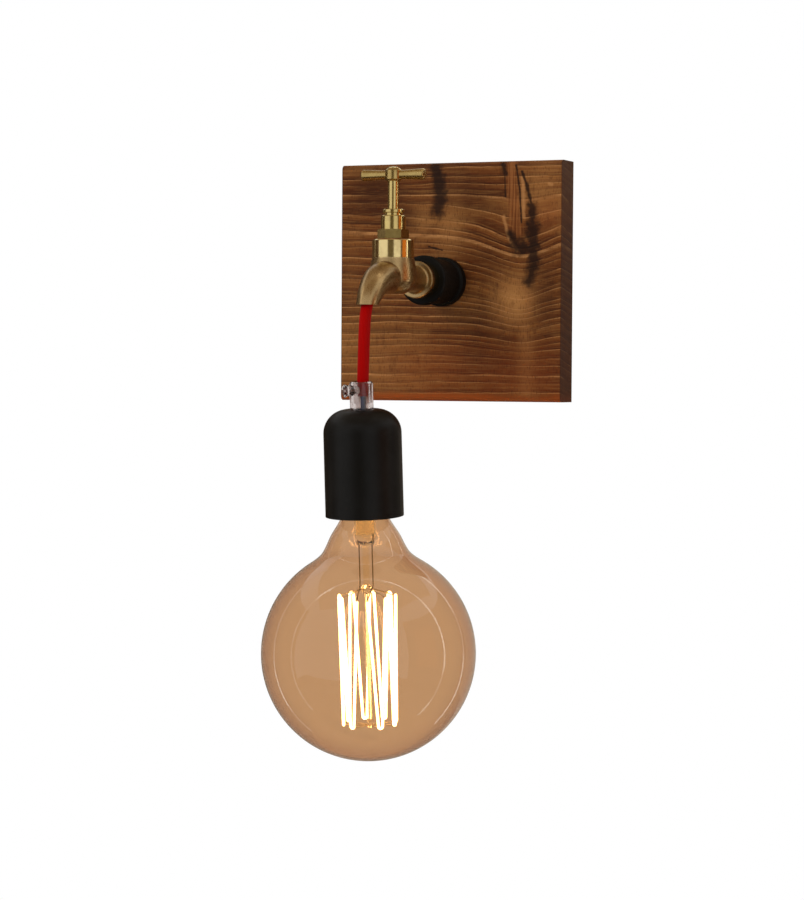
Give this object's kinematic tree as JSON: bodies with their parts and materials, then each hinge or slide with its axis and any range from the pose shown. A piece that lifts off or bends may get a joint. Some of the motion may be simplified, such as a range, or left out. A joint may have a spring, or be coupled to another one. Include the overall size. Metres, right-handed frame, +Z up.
{
  "type": "wall lamp",
  "caption": "Wall lamp shaped as a brass water tap on a square wooden block, with a T handle that turns a screw valve and a globe bulb pendant hanging from the spout on a red cord.",
  "frame": {"origin": "middle of the line between the two hanging holes, on the plane of the wall", "axes": "+X to the right seen from the front, +Y into the wall, +Z up; the lamp stands out along -Y"},
  "size_m": [0.148, 0.1917, 0.3579],
  "materials": {
    "stained_pine": "stained and waxed, open grain",
    "zinc_plated_steel": "zinc plated, satin",
    "black_iron": "matt black",
    "yellow_brass": "polished and lacquered",
    "cast_brass": "satin cast surface",
    "white_nylon": "moulded",
    "fibre": "pressed fibre",
    "graphite_packing": "greased yarn",
    "black_rubber": "moulded",
    "red_textile": "woven sleeve",
    "brown_insulation": "smooth",
    "blue_insulation": "smooth",
    "clear_plastic": "clear, polished",
    "black_painted_steel": "matt black powder coat",
    "porcelain": "glazed",
    "amber_glass": "thin blown glass with a light amber tint",
    "clear_glass": "clear pressed glass",
    "black_glass": "fused glass insulator",
    "nickel_cap": "nickel plated",
    "solder": "soft solder, dull",
    "bare_wire": "drawn wire",
    "glowing_filament": "glowing carbon thread"
  },
  "bodies": {
    "wall_unit": {"wood_block": "stained_pine", "hanger_plates": "zinc_plated_steel", "hanger_screws": "zinc_plated_steel", "terminal_block": "white_nylon", "terminal_barrels": "yellow_brass", "terminal_screws": "zinc_plated_steel", "terminal_block_screw": "zinc_plated_steel", "recess_core_blue": "blue_insulation", "recess_core_brown": "brown_insulation", "pipe_nipple": "black_iron", "nut_washer": "zinc_plated_steel", "back_nut": "yellow_brass", "pipe_socket": "black_iron", "tap_body": "cast_brass", "bonnet_washer": "fibre", "bonnet": "yellow_brass", "gland_packing": "graphite_packing", "gland_nut": "yellow_brass", "cord_inside": "red_textile"},
    "valve": {"jumper_washer": "black_rubber", "jumper_valve": "yellow_brass", "jumper_nut": "yellow_brass"},
    "handle": {"spindle": "yellow_brass", "t_handle": "yellow_brass", "handle_screw": "yellow_brass"},
    "cord_joint": {"cord_flex": "red_textile"},
    "pendant": {"cord": "red_textile", "cord_end": "red_textile", "cord_grip": "clear_plastic", "grip_screw": "clear_plastic", "holder_core_blue": "blue_insulation", "holder_core_brown": "brown_insulation", "lampholder_cup": "black_painted_steel", "holder_bracket": "zinc_plated_steel", "bracket_screws": "zinc_plated_steel", "ceramic_body": "porcelain", "screw_shell": "yellow_brass", "contact_rivets": "yellow_brass", "holder_terminals": "yellow_brass", "holder_terminal_screws": "zinc_plated_steel"},
    "contact_tongue": {"centre_contact": "yellow_brass"},
    "bulb": {"bulb_glass": "amber_glass", "bulb_cap": "nickel_cap", "cap_insulator": "black_glass", "cap_button": "solder", "glass_stem": "clear_glass", "lead_wires": "bare_wire", "support_wires": "bare_wire", "filament": "glowing_filament"}
  },
  "joints": [
    {"name": "valve_rise", "type": "slide", "parent": "wall_unit", "child": "valve", "axis": [0, 0, 1], "range_m": [-0.006, 0]},
    {"name": "handle_turn", "type": "hinge", "parent": "valve", "child": "handle", "pos_m": [-0.0035, -0.0973, 0], "axis": [0, 0, 1], "range_deg": [-1080, 0]},
    {"name": "cord_swing", "type": "hinge", "parent": "wall_unit", "child": "cord_joint", "pos_m": [-0.0035, -0.13279, -0.05556], "axis": [1, 0, 0], "range_deg": [-15, 15]},
    {"name": "pendant_swing", "type": "hinge", "parent": "cord_joint", "child": "pendant", "pos_m": [-0.0035, -0.13279, -0.05556], "axis": [0, 1, 0], "range_deg": [-15, 15]},
    {"name": "bulb_travel", "type": "slide", "parent": "pendant", "child": "contact_tongue", "axis": [0, -0.0785, 0.9969], "range_m": [-0.00242, 0]},
    {"name": "bulb_turn", "type": "hinge", "parent": "contact_tongue", "child": "bulb", "pos_m": [-0.0035, -0.13659, -0.16146], "axis": [0, -0.0785, 0.9969], "range_deg": [-240, 0]}
  ],
  "couplings": [
    {"joint": "handle_turn", "follows": "valve_rise", "rad_per_m": 3141.6},
    {"joint": "bulb_turn", "follows": "bulb_travel", "rad_per_m": 1731.6}
  ]
}
